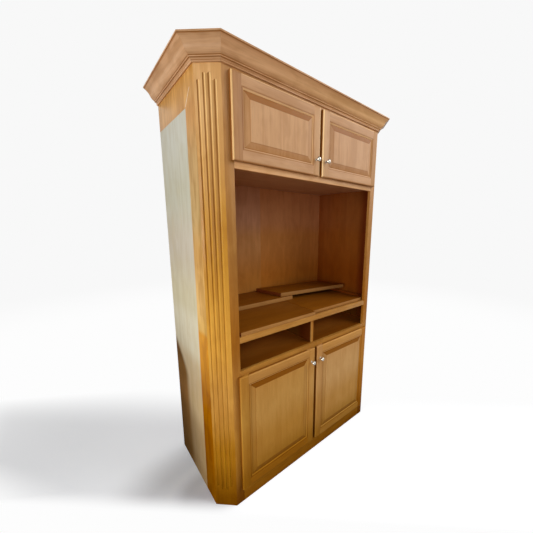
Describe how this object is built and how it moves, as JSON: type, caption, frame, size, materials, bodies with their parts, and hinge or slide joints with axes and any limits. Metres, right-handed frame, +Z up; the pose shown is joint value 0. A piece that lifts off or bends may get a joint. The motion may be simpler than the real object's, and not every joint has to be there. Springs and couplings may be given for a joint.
{
  "type": "tv armoire",
  "caption": "Tall wooden media cabinet with cut-off fluted corners, a crown moulding, an open television bay, player bays and panelled doors above and below.",
  "frame": {"origin": "centre of the overall footprint, on the floor", "axes": "+Z up, the doors face -Y, +X to the right of someone facing the doors"},
  "size_m": [1.37, 0.648, 2.134],
  "materials": {
    "maple_frame": "clear semi-gloss lacquer on solid maple",
    "maple_crown": "clear semi-gloss lacquer on solid maple",
    "maple_door": "clear semi-gloss lacquer on solid maple",
    "maple_panel": "clear semi-gloss lacquer on solid maple",
    "side_ply": "maple ply, lacquered along the front and the top, bare behind",
    "inside_ply": "lacquered maple veneer ply",
    "board_ply": "lacquered maple veneer ply with lipped front edges",
    "polished_nickel": "polished nickel plate",
    "hinge_bronze": "dark bronze plated steel"
  },
  "bodies": {
    "carcass": {"left_side_panel": "side_ply", "right_side_panel": "side_ply", "left_pilaster": "maple_frame", "right_pilaster": "maple_frame", "left_frame_stile": "maple_frame", "right_frame_stile": "maple_frame", "base_rail": "maple_frame", "bay_rail": "maple_frame", "platform_rail": "maple_frame", "header_rail": "maple_frame", "top_frame_rail": "maple_frame", "upper_mullion": "maple_frame", "lower_mullion": "maple_frame", "base_floor": "inside_ply", "bay_floor": "inside_ply", "tv_deck": "inside_ply", "upper_floor": "inside_ply", "top_panel": "inside_ply", "bay_divider": "inside_ply", "lower_partition": "inside_ply", "back_panel": "inside_ply", "crown_front": "maple_crown", "crown_left_angle": "maple_crown", "crown_right_angle": "maple_crown", "crown_left_side": "maple_crown", "crown_right_side": "maple_crown", "hinge_frame_leaves": "hinge_bronze", "hinge_pins": "hinge_bronze"},
    "upper_left_door": {"upper_left_hinge_stile": "maple_door", "upper_left_lock_stile": "maple_door", "upper_left_bottom_rail": "maple_door", "upper_left_top_rail": "maple_door", "upper_left_panel": "maple_panel", "upper_left_knob": "polished_nickel", "upper_left_hinge_leaves": "hinge_bronze"},
    "upper_right_door": {"upper_right_hinge_stile": "maple_door", "upper_right_lock_stile": "maple_door", "upper_right_bottom_rail": "maple_door", "upper_right_top_rail": "maple_door", "upper_right_panel": "maple_panel", "upper_right_knob": "polished_nickel", "upper_right_hinge_leaves": "hinge_bronze"},
    "lower_left_door": {"lower_left_hinge_stile": "maple_door", "lower_left_lock_stile": "maple_door", "lower_left_bottom_rail": "maple_door", "lower_left_top_rail": "maple_door", "lower_left_panel": "maple_panel", "lower_left_knob": "polished_nickel", "lower_left_hinge_leaves": "hinge_bronze"},
    "lower_right_door": {"lower_right_hinge_stile": "maple_door", "lower_right_lock_stile": "maple_door", "lower_right_bottom_rail": "maple_door", "lower_right_top_rail": "maple_door", "lower_right_panel": "maple_panel", "lower_right_knob": "polished_nickel", "lower_right_hinge_leaves": "hinge_bronze"},
    "loose_board_left_body": {"loose_board_left": "board_ply"},
    "loose_board_right_body": {"loose_board_right": "board_ply"},
    "loose_board_middle_body": {"loose_board_middle": "board_ply"},
    "loose_board_askew_body": {"loose_board_askew": "board_ply"}
  },
  "joints": [
    {"name": "upper_left_door_swing", "type": "hinge", "parent": "carcass", "child": "upper_left_door", "pos_m": [-0.5096, -0.268, 1.88], "axis": [0, 0, -1], "range_deg": [0, 105]},
    {"name": "upper_right_door_swing", "type": "hinge", "parent": "carcass", "child": "upper_right_door", "pos_m": [0.5096, -0.268, 1.88], "axis": [0, 0, 1], "range_deg": [0, 105]},
    {"name": "lower_left_door_swing", "type": "hinge", "parent": "carcass", "child": "lower_left_door", "pos_m": [-0.5096, -0.268, 0.409], "axis": [0, 0, -1], "range_deg": [0, 105]},
    {"name": "lower_right_door_swing", "type": "hinge", "parent": "carcass", "child": "lower_right_door", "pos_m": [0.5096, -0.268, 0.409], "axis": [0, 0, 1], "range_deg": [0, 105]},
    {"name": "loose_board_left_draw", "type": "slide", "parent": "carcass", "child": "loose_board_left_body", "axis": [0, -1, 0], "range_m": [0, 0.25]},
    {"name": "loose_board_right_draw", "type": "slide", "parent": "carcass", "child": "loose_board_right_body", "axis": [0, -1, 0], "range_m": [0, 0.25]},
    {"name": "loose_board_middle_draw", "type": "slide", "parent": "carcass", "child": "loose_board_middle_body", "axis": [0, -1, 0], "range_m": [0, 0.25]},
    {"name": "loose_board_askew_draw", "type": "slide", "parent": "carcass", "child": "loose_board_askew_body", "axis": [0, -1, 0], "range_m": [0, 0.18]}
  ]
}
